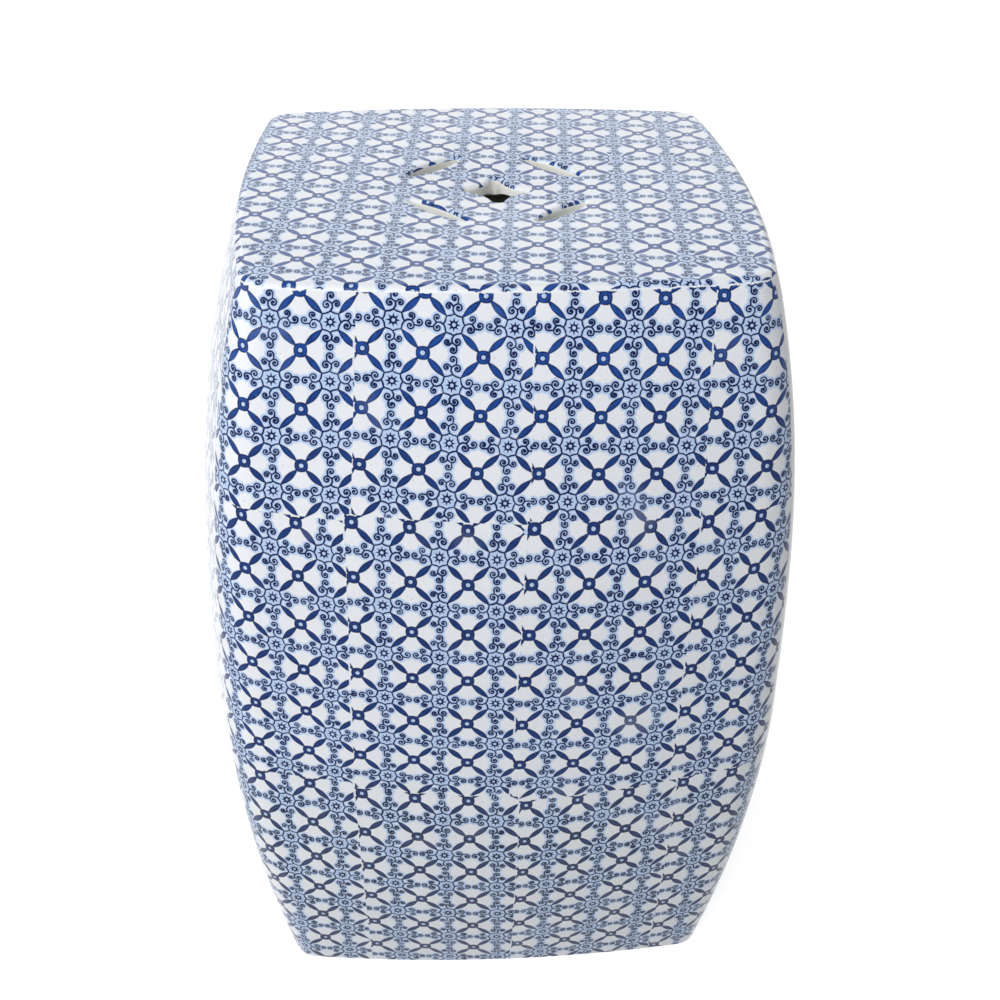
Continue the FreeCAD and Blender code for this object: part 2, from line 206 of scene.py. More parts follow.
class Skin:
    """Collects a closed mesh with normals, print coordinates and bake coordinates per corner."""

    def __init__(self):
        self.points, self.faces, self.materials = [], [], []
        self.normals, self.maps = [], {"Print": [], "Seat": [], "Edge": [], "OFBake": []}

    def add_points(self, points):
        first = len(self.points)
        self.points.extend(tuple(p) for p in points)
        return first

    def add_face(self, corners, normals, material, **maps):
        self.faces.append(tuple(corners))
        self.materials.append(material)
        self.normals.extend(normals)
        for name, store in self.maps.items():
            store.extend(maps.get(name) or [(0.0, 0.0)] * len(corners))

    def add_printed(self, corners, places, column, bake, material=PRINTED):
        """A face in one of a side's columns, with its place on the sheet that covers it."""
        side = places[0].side
        sheets = [sheet_at(side, p.outline, p.facing if p.side == side else -p.facing,
                           is_corner(column)) for p in places]
        self.add_face(corners, [p.normal for p in places], material, OFBake=bake,
                      Print=[side_print(owner, along, p.down)
                             for (owner, along, _), p in zip(sheets, places)],
                      Edge=[(edge, p.down) for (_, _, edge), p in zip(sheets, places)],
                      Seat=[p.flat for p in places])

    def make(self, name, materials):
        mesh = bpy.data.meshes.new(name)
        mesh.from_pydata(self.points, [], self.faces)
        for material in materials:
            mesh.materials.append(material)
        mesh.polygons.foreach_set("material_index", self.materials)
        for map_name, values in self.maps.items():
            layer = mesh.uv_layers.new(name=map_name)
            layer.uv.foreach_set("vector", np.array(values, np.float32).ravel())
        mesh.polygons.foreach_set("use_smooth", [True] * len(self.faces))
        mesh.update()
        mesh.normals_split_custom_set([tuple(n) for n in self.normals])
        mesh.uv_layers["OFBake"].active = True
        piece = bpy.data.objects.new(name, mesh)
        bpy.context.scene.collection.objects.link(piece)
        return piece


# A wall's bake map, from the bottom up: inside, the two level ends, the two mitres, outside
WALL_BAKE_INSIDE, WALL_BAKE_OUTSIDE = (0.002, 0.060), (0.085, 0.998)
WALL_BAKE_ENDS, WALL_BAKE_MITRES, WALL_BAKE_NARROW = (0.064, 0.068), (0.073, 0.078), 0.003


def across_bake(share):
    """A share of the bake map's width, clear of its edges."""
    return 0.004 + 0.992 * share


def wall_row(side, z, inner):
    """One level of a wall's outer or inner face."""
    def at(height):
        outline = outside_at(height)
        return outline.inset(WALL_THICKNESS, LEAST_INSIDE_RADIUS) if inner else outline

    here, over, under = at(z), at(z + 0.5 * MM), at(z - 0.5 * MM)
    row = []
    for facing in here.facings():
        slope = (over.support(facing) - under.support(facing)) / MM
        normal = unit((sin(facing), -cos(facing), -slope))
        if inner:
            normal = tuple(-c for c in normal)
        row.append(Place(turned((*here.point(facing), z), side), turned(normal, side), side,
                         facing, here, down_from_rim(z)))
    return row


def build_wall(side, materials):
    skin = Skin()
    columns = 2 * CORNER_STEPS + SIDE_STEPS
    grids = []
    for inner in (False, True):
        rows = [wall_row(side, z, inner) for z in np.linspace(WALL_FOOT, WALL_HEAD, WALL_ROWS + 1)]
        grids.append((skin.add_points(place.at for row in rows for place in row), rows))

    def vertex(inner, r, c):
        return grids[inner][0] + r * (columns + 1) + c

    def face_quad(keys, material, low, high):
        skin.add_printed([vertex(*key) for key in keys],
                         [grids[inner][1][r][c] for inner, r, c in keys],
                         min(c for _, _, c in keys),
                         [(across_bake(c / columns), low + (high - low) * r / WALL_ROWS)
                          for _, r, c in keys], material)

    def narrow_quad(keys, normal, shares, low):
        skin.add_face([vertex(*key) for key in keys], [normal] * 4, PLAIN,
                      OFBake=[(across_bake(share), low + WALL_BAKE_NARROW * inner)
                              for share, (inner, _, _) in zip(shares, keys)])

    for r in range(WALL_ROWS):
        for c in range(columns):
            around = [(r, c), (r, c + 1), (r + 1, c + 1), (r + 1, c)]
            face_quad([(0, a, b) for a, b in around], PRINTED, *WALL_BAKE_OUTSIDE)
            face_quad([(1, a, b) for a, b in reversed(around)], PLAIN, *WALL_BAKE_INSIDE)
    for c in range(columns):
        for r, (first, second), z, low in ((0, (0, 1), -1.0, WALL_BAKE_ENDS[0]),
                                           (WALL_ROWS, (1, 0), 1.0, WALL_BAKE_ENDS[1])):
            keys = [(first, r, c), (second, r, c), (second, r, c + 1), (first, r, c + 1)]
            narrow_quad(keys, (0.0, 0.0, z), [k / columns for _, _, k in keys], low)
    for r in range(WALL_ROWS):
        for c, (first, second), sign, low in ((0, (1, 0), -1.0, WALL_BAKE_MITRES[0]),
                                              (columns, (0, 1), 1.0, WALL_BAKE_MITRES[1])):
            keys = [(first, r, c), (second, r, c), (second, r + 1, c), (first, r + 1, c)]
            narrow_quad(keys, turned(unit((sign, 1.0, 0.0)), side),
                        [k / WALL_ROWS for _, k, _ in keys], low)
    return skin.make(SIDES[side] + "_wall_glazed", materials)


# Piercings, as closed chains of arcs: centre, radius, first and last angle, side of the clay


def slot_arcs(number):
    reach = SLOT_LENGTH / 2 - SLOT_TIP
    half = SLOT_WIDTH / 2
    cheek = (reach ** 2 + half ** 2 - SLOT_TIP ** 2) / (2 * (half - SLOT_TIP))
    sink = cheek - half
    swing = atan2(reach, sink)
    up = pi / 2
    arcs = [((0.0, -sink), cheek, up - swing, up + swing),
            ((-reach, 0.0), SLOT_TIP, up + swing, 3 * up - swing),
            ((0.0, sink), cheek, 3 * up - swing, 3 * up + swing),
            ((reach, 0.0), SLOT_TIP, 3 * up + swing, 5 * up - swing)]
    turn = pi / 4 + number * pi / 2
    c, s = cos(turn), sin(turn)
    placed = []
    for (x, y), radius, start, end in arcs:
        y += SLOT_DISTANCE
        placed.append(((x * c - y * s, x * s + y * c), radius, start + turn, end + turn, 1))
    return placed


def hole_arcs():
    reach = HOLE_SPAN / 2 - HOLE_TIP
    throat = HOLE_THROAT / 2 - HOLE_TIP
    side_reach = (reach ** 2 - throat ** 2) / (2 * reach - 2 * sqrt(2) * throat)
    side_radius = side_reach * sqrt(2) - HOLE_THROAT / 2
    swing = atan2(side_reach, side_reach - reach)
    arcs = []
    for turn in range(4):
        facing = turn * pi / 2
        c, s = round(cos(facing)), round(sin(facing))
        arcs.append(((reach * c, reach * s), HOLE_TIP, facing - swing, facing + swing, 1))
        arcs.append(((side_reach * (c - s), side_reach * (s + c)), side_radius,
                     facing + pi + swing, facing + 1.5 * pi - swing, -1))
    return arcs


def arc_ring(arcs, grow):
    """Points and outward normals (into the clay) of a piercing grown by an amount."""
    points = []
    for (cx, cy), radius, start, end, hand in arcs:
        size = radius + hand * grow
        steps = max(LEAST_ARC_STEPS, int(abs(end - start) * radius / ARC_STEP))
        for k in range(steps):
            angle = start + (end - start) * k / steps
            nx, ny = cos(angle), sin(angle)
            points.append(((cx + size * nx, cy + size * ny), (hand * nx, hand * ny)))
    return points


def sag(x, y):
    distance = (x - SAG_CENTRE[0]) ** 2 + (y - SAG_CENTRE[1]) ** 2
    return -SAG_DEPTH * exp(-distance / (2 * SAG_SPREAD ** 2))


def sag_normal(x, y):
    step = 0.5 * MM
    return unit((-(sag(x + step, y) - sag(x - step, y)) / (2 * step),
                 -(sag(x, y + step) - sag(x, y - step)) / (2 * step), 1.0))


def ring_test(ring):
    """A test of a point: is it within the ring, and farther than a margin from its corners?"""
    xs, ys = np.array([p[0] for p in ring]), np.array([p[1] for p in ring])
    xn, yn = np.roll(xs, -1), np.roll(ys, -1)

    def test(x, y, margin):
        crossing = (ys > y) != (yn > y)
        at = xs + (y - ys) * (xn - xs) / np.where(yn == ys, 1.0, yn - ys)
        within = bool(np.count_nonzero(crossing & (x < at)) % 2)
        return within, not margin or float(np.hypot(xs - x, ys - y).min()) > margin

    return test


def clay_test(outer, holes):
    """A test of a point: is it inside the outer ring and outside the holes, by a margin?"""
    wanted = [(ring_test(outer), True)] + [(ring_test(hole), False) for hole in holes]

    def inside(x, y, margin):
        for test, expected in wanted:
            within, clear = test(x, y, margin)
            if within != expected or not clear:
                return False
        return True

    return inside


def fill(outer, holes, spacing=0.0):
    """Triangles between a ring and the holes in it, with points between them on a grid."""
    inside = clay_test(outer, holes)
    flat, edges = [], []
    for ring in [outer] + holes:
        first = len(flat)
        flat.extend(ring)
        edges.extend((first + k, first + (k + 1) % len(ring)) for k in range(len(ring)))
    if spacing:
        count = int(TOP[0] / (spacing * sqrt(0.75)))
        for i in range(-count, count + 1):
            for j in range(-count, count + 1):
                x, y = (i + 0.5 * (j % 2)) * spacing, j * spacing * sqrt(0.75)
                if inside(x, y, SEAT_MARGIN):
                    flat.append((x, y))
    result = delaunay_2d_cdt([tuple(p) for p in flat], edges, [], 0, 1e-7)
    points = [tuple(p) for p in result[0]]
    origin = [o[0] if o else None for o in result[3]]
    kept = []
    for face in result[2]:
        x, y = (sum(points[k][c] for k in face) / len(face) for c in (0, 1))
        if inside(x, y, 0.0):
            a, b, c = (points[k] for k in face)
            area = (b[0] - a[0]) * (c[1] - a[1]) - (b[1] - a[1]) * (c[0] - a[0])
            kept.append([origin[k] for k in (face if area > 0 else face[::-1])])
    return flat, kept


# The seat's bake map: the top laid flat, strips for the piercings' walls under it, and a small
# square for the underside
SEAT_BAKE_SPAN, SEAT_BAKE_MIDDLE = 0.331, (0.462, 0.538)
PIERCING_BAKE_START, PIERCING_BAKE_STEP, PIERCING_BAKE_HEIGHT = 0.012, 0.014, 0.012


def seat_top_bake(x, y):
    return (SEAT_BAKE_MIDDLE[0] + x / SEAT_BAKE_SPAN, SEAT_BAKE_MIDDLE[1] + y / SEAT_BAKE_SPAN)


def seat_underside_bake(x, y):
    return (0.94 + 0.05 * (0.5 + x / 0.3), 0.5 + 0.05 * y / 0.3)


def rim_profile(base):
    """Inset, height, tilt of the normal above level, and length from the foot of the slab."""
    edge_inset, rise = base.half - TOP[0], HEIGHT - WALL_HEAD
    lean = atan2(edge_inset, rise)
    turn = pi / 2 - lean
    tangent = RIM_RADIUS * tan(turn / 2)
    side_length = hypot(edge_inset, rise) - tangent
    profile = []
    for k in range(RIM_WALL_STEPS):
        length = k / RIM_WALL_STEPS * side_length
        profile.append((length * sin(lean), WALL_HEAD + length * cos(lean), lean, length))
    for k in range(RIM_STEPS + 1):
        tilt = lean + turn * k / RIM_STEPS
        profile.append((edge_inset + tangent - RIM_RADIUS * cos(tilt),
                        HEIGHT - RIM_RADIUS + RIM_RADIUS * sin(tilt), tilt,
                        side_length + RIM_RADIUS * (tilt - lean)))
    return profile


def add_rim(skin):
    """The slab's outer face and round rim. Returns its lowest and highest ring of point numbers."""
    base = outside_at(WALL_HEAD)
    profile = rim_profile(base)
    flat_inset, _, _, whole_length = profile[-1]
    rings = []
    for inset, z, tilt, length in profile:
        ring = []
        outline = base.inset(inset)
        spread = whole_length - length
        for side, facing, (x, y), (nx, ny) in outline.ring():
            # the seat's sheet is bent down over the rim
            out = spread - (flat_inset - inset)
            ring.append(Place(
                (x, y, z), (nx * cos(tilt), ny * cos(tilt), sin(tilt)), side, facing,
                outline, down_from_rim(WALL_HEAD) - length, (x + nx * out, y + ny * out)))
        rings.append(ring)
    starts = [skin.add_points(place.at for place in ring) for ring in rings]
    count = len(rings[0])
    for r in range(len(rings) - 1):
        for k in range(count):
            n = (k + 1) % count
            keys = [(r, k), (r, n), (r + 1, n), (r + 1, k)]
            places = [rings[a][b] for a, b in keys]
            skin.add_printed([starts[a] + b for a, b in keys], places, k % (count // 4),
                             [seat_top_bake(*p.flat) for p in places])
    return [[(start + k, ring[k].at[:2]) for k in range(count)]
            for start, ring in ((starts[0], rings[0]), (starts[-1], rings[-1]))]


def piercing_levels(arcs, flare):
    """Rings of (point, normal) down a piercing: its rounded edge and the lower end of its wall."""
    levels = []
    for step in range(PIERCING_EDGE_STEPS + 2):
        rounded = step <= PIERCING_EDGE_STEPS
        tilt = min(step / PIERCING_EDGE_STEPS, 1.0) * pi / 2
        grow = PIERCING_EDGE * (1 - sin(tilt)) + flare if rounded else 0.0
        level = []
        for (x, y), (nx, ny) in arc_ring(arcs, grow):
            if rounded:
                z = HEIGHT - PIERCING_EDGE * (1 - cos(tilt)) + sag(x, y)
            else:
                z = WALL_HEAD
                if flare:
                    # the hole is cut shallower at its throat than at its points
                    share = (2 * hypot(x, y) - HOLE_THROAT) / (HOLE_SPAN - HOLE_THROAT)
                    z += HOLE_UNDERCUT * (1.0 - min(1.0, max(0.0, share)))
            level.append(((x, y, z),
                          (-nx * sin(tilt), -ny * sin(tilt), cos(tilt))))
        levels.append(level)
    return levels


def add_piercing(skin, levels, top_numbers, bake_row):
    """The faces down a piercing. Returns the point numbers of its lower end."""
    upper = top_numbers
    count = len(upper)
    low = PIERCING_BAKE_START + PIERCING_BAKE_STEP * bake_row
    for step in range(1, len(levels)):
        start = skin.add_points(at for at, _ in levels[step])
        lower = [start + k for k in range(count)]
        on_edge = step < PIERCING_EDGE_STEPS
        for k in range(count):
            n = (k + 1) % count
            places = [levels[step - 1][k], levels[step - 1][n], levels[step][n], levels[step][k]]
            spots = [at[:2] for at, _ in places]
            if on_edge:
                bake = [seat_top_bake(*spot) for spot in spots]
            else:
                left, right = (0.005 + 0.99 * end / count for end in (k, k + 1))
                high = low + PIERCING_BAKE_HEIGHT
                bake = [(left, high), (right, high), (right, low), (left, low)]
            skin.add_face([upper[k], upper[n], lower[n], lower[k]],
                          [normal for _, normal in places], PRINTED if on_edge else PLAIN,
                          Print=[OFF_WALL] * 4, Edge=[INSIDE_SHEET] * 4, Seat=spots, OFBake=bake)
        upper = lower
    return upper


def build_seat(materials):
    skin = Skin()
    low_rim, high_rim = add_rim(skin)
    piercings = [piercing_levels(hole_arcs(), HOLE_FLARE)]
    piercings += [piercing_levels(slot_arcs(number), 0.0) for number in range(4)]

    # top
    flat, triangles = fill([spot for _, spot in high_rim],
                           [[at[:2] for at, _ in levels[0]] for levels in piercings], SEAT_SPACING)
    numbers = [number for number, _ in high_rim]
    numbers += [skin.add_points([(x, y, HEIGHT + sag(x, y))]) for x, y in flat[len(numbers):]]
    for face in triangles:
        spots = [flat[k] for k in face]
        skin.add_face([numbers[k] for k in face], [sag_normal(*spot) for spot in spots], PRINTED,
                      Print=[OFF_WALL] * 3, Edge=[INSIDE_SHEET] * 3, Seat=spots,
                      OFBake=[seat_top_bake(*spot) for spot in spots])

    # piercings
    low_numbers = [number for number, _ in low_rim]
    first = len(high_rim)
    for row, levels in enumerate(piercings):
        last = first + len(levels[0])
        low_numbers += add_piercing(skin, levels, numbers[first:last], row)
        first = last

    # underside
    flat, triangles = fill([spot for _, spot in low_rim],
                           [[at[:2] for at, _ in levels[-1]] for levels in piercings])
    for face in triangles:
        spots = [flat[k] for k in reversed(face)]
        skin.add_face([low_numbers[k] for k in reversed(face)], [(0.0, 0.0, -1.0)] * 3, PLAIN,
                      Seat=spots, OFBake=[seat_underside_bake(*spot) for spot in spots])
    return skin.make("seat_slab_glazed", materials)


# The foot ring's bake map: a band for each side's outer face, then underside, opening and top
FOOT_BAKE_SIDE, FOOT_BAKE_SIDE_STEP, FOOT_BAKE_SIDE_HEIGHT = 0.02, 0.20, 0.19
FOOT_BAKE_UNDERSIDE, FOOT_BAKE_OPENING, FOOT_BAKE_TOP = (0.83, 0.87), (0.88, 0.92), (0.93, 0.98)


def foot_rings():
    """The ring's leaning outer face and small rounded edge, from the top down to the floor."""
    low, high = outside_at(0.0), outside_at(WALL_FOOT)
    lean = atan2(high.half - low.half, WALL_FOOT)
    slope = hypot(high.half - low.half, WALL_FOOT)
    tangent = FOOT_EDGE_RADIUS * tan((pi / 2 + lean) / 2)
    # outline, height, tilt of the normal below level, length from the top
    profile = []
    for k in range(FOOT_WALL_STEPS + 1):
        left = slope - (slope - tangent) * k / FOOT_WALL_STEPS
        z = left * cos(lean)
        profile.append((outside_at(z), z, lean, slope - left))
    for k in range(1, FOOT_EDGE_STEPS + 1):
        tilt = lean + (pi / 2 - lean) * k / FOOT_EDGE_STEPS
        profile.append((low.inset(tangent - FOOT_EDGE_RADIUS * cos(tilt)),
                        FOOT_EDGE_RADIUS * (1 - sin(tilt)), tilt,
                        slope - tangent + FOOT_EDGE_RADIUS * (tilt - lean)))
    return [[Place((x, y, z), (nx * cos(tilt), ny * cos(tilt), -sin(tilt)),
                   side, facing, outline, down_from_rim(WALL_FOOT) + length)
             for side, facing, (x, y), (nx, ny) in outline.ring()]
            for outline, z, tilt, length in profile]


def build_foot(materials):
    skin = Skin()
    rings = foot_rings()
    starts = [skin.add_points(place.at for place in ring) for ring in rings]
    count = len(rings[0])
    quarter = count // 4
    for r in range(len(rings) - 1):
        for k in range(count):
            n = (k + 1) % count
            keys = [(r, k), (r + 1, k), (r + 1, n), (r, n)]
            band = FOOT_BAKE_SIDE + FOOT_BAKE_SIDE_STEP * (k // quarter)
            bake = [(0.002 + 0.996 * (k % quarter + (b != k)) / quarter,
                     band + FOOT_BAKE_SIDE_HEIGHT * (1 - a / (len(rings) - 1))) for a, b in keys]
            skin.add_printed([starts[a] + b for a, b in keys], [rings[a][b] for a, b in keys],
                             k % quarter, bake)

    opening = Outline(*FOOT_OPENING).ring()
    low_in, high_in = ([skin.add_points([(x, y, z)]) for _, _, (x, y), _ in opening]
                       for z in (0.0, WALL_FOOT))
    normals = [(-nx, -ny, 0.0) for _, _, _, (nx, ny) in opening]
    low_out, high_out = ([start + k for k in range(count)] for start in (starts[-1], starts[0]))
    down, up = [(0.0, 0.0, -1.0)] * count, [(0.0, 0.0, 1.0)] * count
    for first, second, facings, material, (low, high) in (
            (low_out, low_in, down, BISCUIT, FOOT_BAKE_UNDERSIDE),
            (low_in, high_in, normals, PLAIN, FOOT_BAKE_OPENING),
            (high_in, high_out, up, PLAIN, FOOT_BAKE_TOP)):
        for k in range(count):
            n = (k + 1) % count
            left, right = k / count, (k + 1) / count
            skin.add_face([first[k], second[k], second[n], first[n]],
                          [facings[k], facings[k], facings[n], facings[n]], material,
                          OFBake=[(left, low), (left, high), (right, high), (right, low)])
    return skin.make("foot_ring_glazed", materials)


# Node helpers: a signal is a value or vector in a material, and takes part in arithmetic


class Signal:
    def __init__(self, net, socket):
        self.net, self.socket = net, socket

    def __add__(self, other):
        return self.net.math("ADD", self, other)

    def __sub__(self, other):
        return self.net.math("SUBTRACT", self, other)

    def __rsub__(self, other):
        return self.net.math("SUBTRACT", other, self)

    def __mul__(self, other):
        return self.net.math("MULTIPLY", self, other)

    def __truediv__(self, other):
        return self.net.math("DIVIDE", self, other)

    def __pow__(self, other):
        return self.net.math("POWER", self, other)

    def __abs__(self):
        return self.net.math("ABSOLUTE", self)

    def over(self, limit):
        return self.net.math("GREATER_THAN", self, limit)

    def floor(self):
        return self.net.math("FLOOR", self)

    def least(self, other):
        return self.net.math("MINIMUM", self, other)

    def most(self, other):
        return self.net.math("MAXIMUM", self, other)


class Net:
    def __init__(self, tree):
        self.tree = tree

    def node(self, kind, **settings):
        node = self.tree.nodes.new(kind)
        for key, value in settings.items():
            setattr(node, key, value)
        return node

    def feed(self, socket, value):
        if isinstance(value, Signal):
            self.tree.links.new(value.socket, socket)
        else:
            socket.default_value = value

    def math(self, operation, *values):
        node = self.node("ShaderNodeMath", operation=operation)
        for socket, value in zip(node.inputs, values):
            self.feed(socket, value)
        return Signal(self, node.outputs[0])

    def root(self, value):
        return self.math("SQRT", value)

    def vector(self, x, y, z):
        node = self.node("ShaderNodeCombineXYZ")
        for socket, value in zip(node.inputs, (x, y, z)):
            self.feed(socket, value)
        return Signal(self, node.outputs[0])

    def dot(self, first, second):
        node = self.node("ShaderNodeVectorMath", operation="DOT_PRODUCT")
        self.feed(node.inputs[0], first)
        self.feed(node.inputs[1], second)
        return Signal(self, node.outputs["Value"])

    def uv(self, name):
        source = self.node("ShaderNodeUVMap", uv_map=name)
        split = self.node("ShaderNodeSeparateXYZ")
        self.feed(split.inputs[0], Signal(self, source.outputs[0]))
        return [Signal(self, out) for out in split.outputs[:2]]

    def place(self):
        return Signal(self, self.node("ShaderNodeTexCoord").outputs["Object"])

    def pick(self, mask, low, high):
        """low where the mask is 0 and high where it is 1."""
        node = self.node("ShaderNodeMix", data_type="FLOAT")
        for index, value in ((0, mask), (2, low), (3, high)):
            self.feed(node.inputs[index], value)
        return Signal(self, node.outputs[0])

    def blend(self, mask, low, high):
        """The same for colours."""
        node = self.node("ShaderNodeMix", data_type="RGBA")
        for index, value in ((0, mask), (6, low), (7, high)):
            self.feed(node.inputs[index], value)
        return Signal(self, node.outputs[2])

    def ramp(self, value, low, high):
        """A smooth step from 0 at low to 1 at high, which may be the lower of the two."""
        node = self.node("ShaderNodeMapRange", interpolation_type="SMOOTHSTEP")
        for index, given in enumerate((value, low, high, 0.0, 1.0)):
            self.feed(node.inputs[index], given)
        return Signal(self, node.outputs[0])

    def noise(self, vector, scale, detail, roughness=0.5):
        node = self.node("ShaderNodeTexNoise")
        for name, value in (("Vector", vector), ("Scale", scale), ("Detail", detail),
                            ("Roughness", roughness)):
            self.feed(node.inputs[name], value)
        return Signal(self, node.outputs[0])

    def shift(self, vector, by):
        node = self.node("ShaderNodeVectorMath", operation="ADD")
        self.feed(node.inputs[0], vector)
        self.feed(node.inputs[1], by)
        return Signal(self, node.outputs[0])

    def bump(self, shader, height, strength):
        node = self.node("ShaderNodeBump")
        for name, value in (("Strength", strength), ("Distance", 0.3 * MM), ("Height", height)):
            self.feed(node.inputs[name], value)
        self.tree.links.new(node.outputs[0], shader.inputs["Normal"])


def linear(red, green, blue):
    """A colour written as 0..255 on screen, as the shader takes it."""
    def channel(value):
        value /= 255
        return value / 12.92 if value <= 0.04045 else ((value + 0.055) / 1.055) ** 2.4

    return (channel(red), channel(green), channel(blue), 1.0)


WHITE_LIGHT = (1.0, 1.0, 1.0, 1.0)

# The print: a scroll lattice in sheets of transfer paper. Lattice unit: one repeat.

REPEAT = 29.67 * MM
# the lattice columns and rows at which one sheet ends and the next begins
COLUMN_EDGES = (-2.13, 0.87, 3.87)
BAND_EDGES = (3.87, 9.87)
# the column and row of each sheet's middle
SHEET_COLUMNS = (-3.5, -1.0, 2.0, 4.5)
SHEET_ROWS = (1.5, 6.5, 12.5)

# How a sheet was laid, in millimetres: its middle's place across and down from the true one, and
# what each further column (widening across, tilt down) and row (lean across, lengthening down) adds
Sheet = namedtuple("Sheet", "across down widening lean tilt lengthening", defaults=(0.0,) * 4)
BANDS = (
    (Sheet(-14.0, 1.0, widening=-0.5, lean=-1.0),
     Sheet(-14.5, 0.5, widening=-0.5, lean=-1.5, tilt=2.0),
     Sheet(-15.5, 4.5, lean=-0.5, tilt=1.5),
     Sheet(-16.0, 7.0, lean=-0.5, tilt=2.5)),
    (Sheet(-19.5, 1.5, widening=-1.5, tilt=1.5, lengthening=-1.0),
     Sheet(-21.5, 2.5, widening=-0.5, tilt=1.5, lengthening=-0.5),
     Sheet(-20.5, 6.0, lean=-1.0, tilt=1.0),
     Sheet(-19.5, 6.5, widening=-1.0, lean=-1.0, tilt=0.5, lengthening=-0.5)),
    (Sheet(-19.0, -5.0, widening=-1.0, lean=0.5, tilt=0.5),
     Sheet(-18.5, 1.0, lean=1.0, tilt=1.5),
     Sheet(-19.0, 1.5, widening=-0.5, tilt=-2.0, lengthening=-1.5),
     Sheet(-18.5, -4.0, widening=-0.5, lean=-0.5, tilt=-0.5, lengthening=-2.0)),
)
# how each band's rows dip along their length (mm), and how much of that each row squared takes back
BAND_DIPS = ((0.0, 0.0), (1.5, 0.5), (1.5, 0.5))


def sheet_factors(band, group):
    """Factors that turn (along, down, 1) in metres into lattice columns and rows on a sheet."""
    sheet = Sheet(*[value * MM / REPEAT for value in BANDS[band][group]])
    column, row = SHEET_COLUMNS[group], SHEET_ROWS[band]
    across = ((1 - sheet.widening) / REPEAT, -sheet.lean / REPEAT,
              -sheet.across * (1 - sheet.widening) + sheet.widening * column
              + sheet.lean * (sheet.down + row))
    down = (-sheet.tilt / REPEAT, (1 - sheet.lengthening) / REPEAT,
            -sheet.down * (1 - sheet.lengthening) + sheet.tilt * (sheet.across + column)
            + sheet.lengthening * row)
    return across, down


def wall_lattice(net, along, down, waver):
    """Lattice place on a wall, and how near it is to its sheet's upright and lower edges."""
    here = net.vector(along, down, 1.0)
    bands = []
    for band, (dip, rise) in enumerate(BAND_DIPS):
        across, deep = (net.dot(here, factors) for factors in sheet_factors(band, 0))
        gap = None
        for edge, group in zip(COLUMN_EDGES, (1, 2, 3)):
            other, other_deep = (net.dot(here, factors) for factors in sheet_factors(band, group))
            beyond = (other + waver).over(edge)
            near = net.pick(beyond, edge - other, 1.0)
            across, deep = net.pick(beyond, across, other), net.pick(beyond, deep, other_deep)
            gap = near if gap is None else gap.least(near)
        if dip:
            off = deep - SHEET_ROWS[band]
            deep = deep - (dip * MM / REPEAT - off * off * (rise * MM / REPEAT))
        bands.append((across, deep, gap))
    across, deep, gap = bands[0]
    low_gap = net.pick(bands[1][1].over(BAND_EDGES[0]), BAND_EDGES[0] - bands[1][1],
                       BAND_EDGES[1] - bands[2][1])
    for edge, (other, other_deep, other_gap) in zip(BAND_EDGES, bands[1:]):
        beyond = (other_deep + waver).over(edge)
        across, deep = net.pick(beyond, across, other), net.pick(beyond, deep, other_deep)
        gap = net.pick(beyond, gap, other_gap)
    # past the last band's edge no lower edge is left
    return across, deep, gap, net.pick(low_gap.over(-0.02), 1.0, low_gap)


# the seat's two sheets: their turn, a lattice corner's place, the column where they meet and how
# much farther back the left one lies
SEAT_TURN = radians(-4.75)
SEAT_START = (-6.5 * MM, -113.8 * MM)
SEAT_EDGE, SEAT_STEP = -1.63, 2.0 * MM


def seat_lattice(net, x, y):
    """Lattice place on the seat, and how near it is to its sheet's edge."""
    c, s = cos(SEAT_TURN), sin(SEAT_TURN)
    across = (x * c + y * s - SEAT_START[0]) / REPEAT
    left = 1.0 - across.over(SEAT_EDGE)
    deep = (left * SEAT_STEP - (y * c - x * s - SEAT_START[1])) / REPEAT
    return across, deep, net.pick(left, 1.0, SEAT_EDGE - across)


# One repeat of the lattice, a rosette in the middle of a cell and ring knots at its corners
OCTAGON_RADIUS, OCTAGON_HOLLOW, OCTAGON_BULGE = 0.180, 0.022, 0.004
LINE_HALF_WIDTH = 0.015
LINE_SOFTNESS, LEAF_SOFTNESS = (0.006, -0.005), (0.007, -0.006)
# a spray's strokes and curls, as (aside, out) from the rosette's middle
SPRAY_STROKES = (((0.0, 0.178), (-0.03, 0.235)), ((-0.03, 0.235), (-0.024, 0.295)),
                 ((-0.024, 0.295), (0.008, 0.318)), ((-0.024, 0.295), (-0.058, 0.322)),
                 ((0.045, 0.338), (0.052, 0.385)))
Curl = namedtuple("Curl", "centre radius start hand")
SPRAY_CURLS = (Curl((0.064, 0.275), 0.068, 0.38, -1.0), Curl((-0.104, 0.290), 0.057, 0.10, 1.0),
               Curl((-0.008, 0.420), 0.065, -0.09, 1.0))
CURL_TURNS, CURL_PITCH, CURL_EYE = 1.42, 0.62, 0.004
STAR_RADIUS, STAR_RAY, STAR_HUB, STAR_EYE = 0.118, 0.32, 0.064, 0.030
LEAF_START, LEAF_LENGTH, LEAF_CUT = 0.180, 0.415, 0.186
LEAF_BELLY, LEAF_TAPER, LEAF_TIP = 0.049, 0.009, 0.006
RING_RADIUS, RING_SQUARENESS, RING_EYE, RING_EYE_WASH = 0.117, 2.6, 0.038, 0.05
WASH_REACH, OCTAGON_WASH, LEAF_WASH_REACH, LEAF_WASH = (0.070, 0.034), (0.20, 0.18), 0.03, 0.35
LEAF_GRAIN = -28.0


